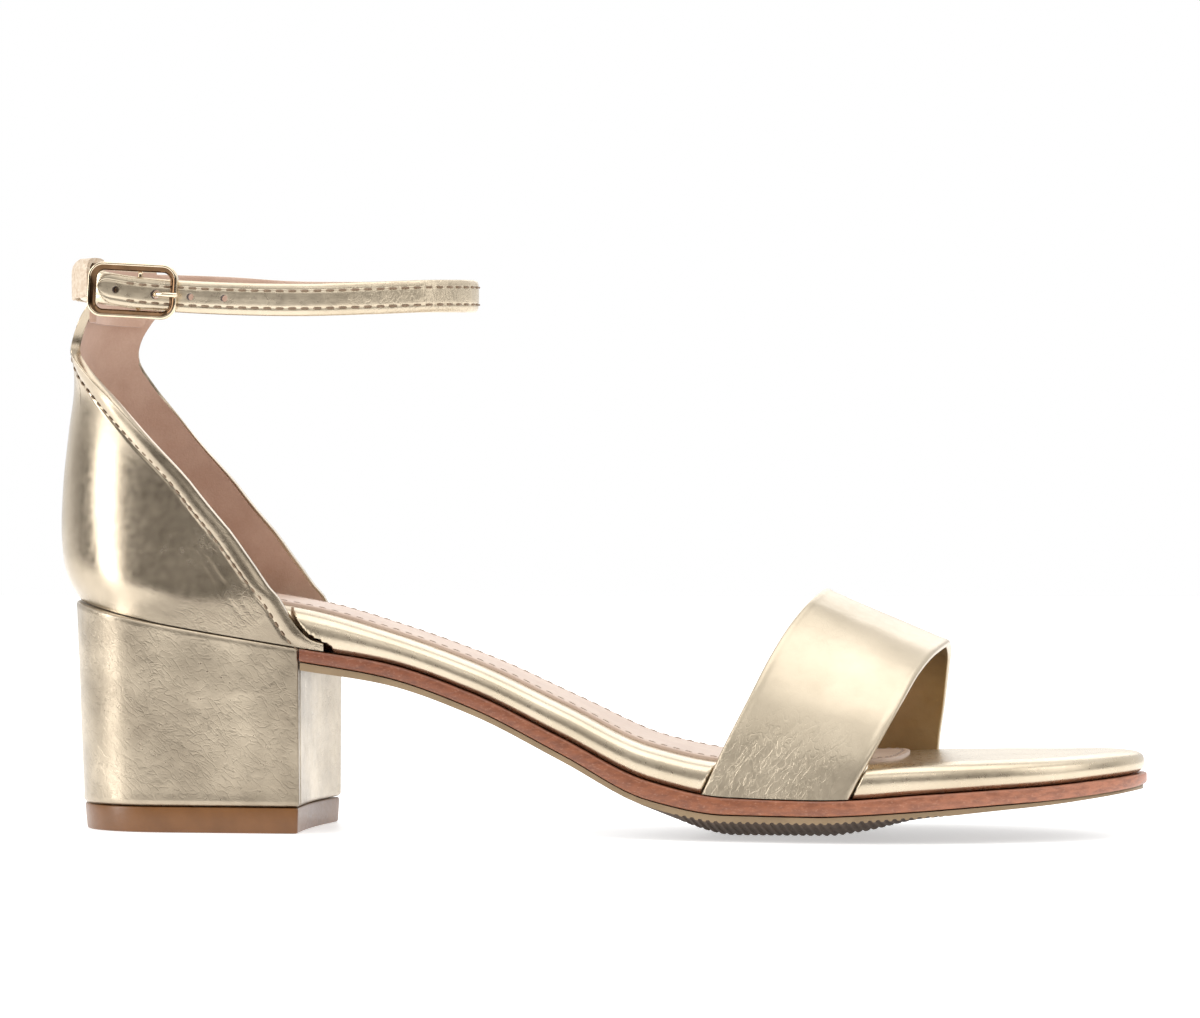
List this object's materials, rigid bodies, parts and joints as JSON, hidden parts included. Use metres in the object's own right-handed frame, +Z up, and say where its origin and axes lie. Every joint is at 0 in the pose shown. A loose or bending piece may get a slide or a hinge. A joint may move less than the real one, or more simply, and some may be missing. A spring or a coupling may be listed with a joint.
{
  "type": "ankle strap sandal",
  "caption": "Right ankle strap sandal with a covered block heel, wide toe band, closed back and a side buckle.",
  "frame": {"origin": "middle of the shoe's footprint box, on the floor", "axes": "+X from heel to toe, +Y to the wearer's left, the inner side of this right shoe, +Z up"},
  "size_m": [0.2453, 0.0752, 0.128],
  "materials": {
    "heel_top_piece": "brown, satin",
    "heel_block": "metallic gold leather cover",
    "outsole": "grey brown, matt",
    "midsole": "red brown stacked edge",
    "footbed": "metallic gold leather cover",
    "sock": "pink beige, smooth",
    "vamp_strap": "metallic gold leather",
    "heel_counter": "metallic gold leather with a pink beige lining",
    "ankle_strap": "metallic gold leather with a pink beige lining",
    "buckle_frame": "polished pale gold",
    "buckle_prong": "polished pale gold"
  },
  "bodies": {
    "root": {"heel_top_piece": "heel_top_piece", "heel_block": "heel_block", "outsole": "outsole", "midsole": "midsole", "footbed": "footbed", "sock": "sock", "vamp_strap": "vamp_strap", "heel_counter": "heel_counter", "ankle_strap": "ankle_strap", "buckle_frame": "buckle_frame", "buckle_prong": "buckle_prong"}
  },
  "joints": []
}
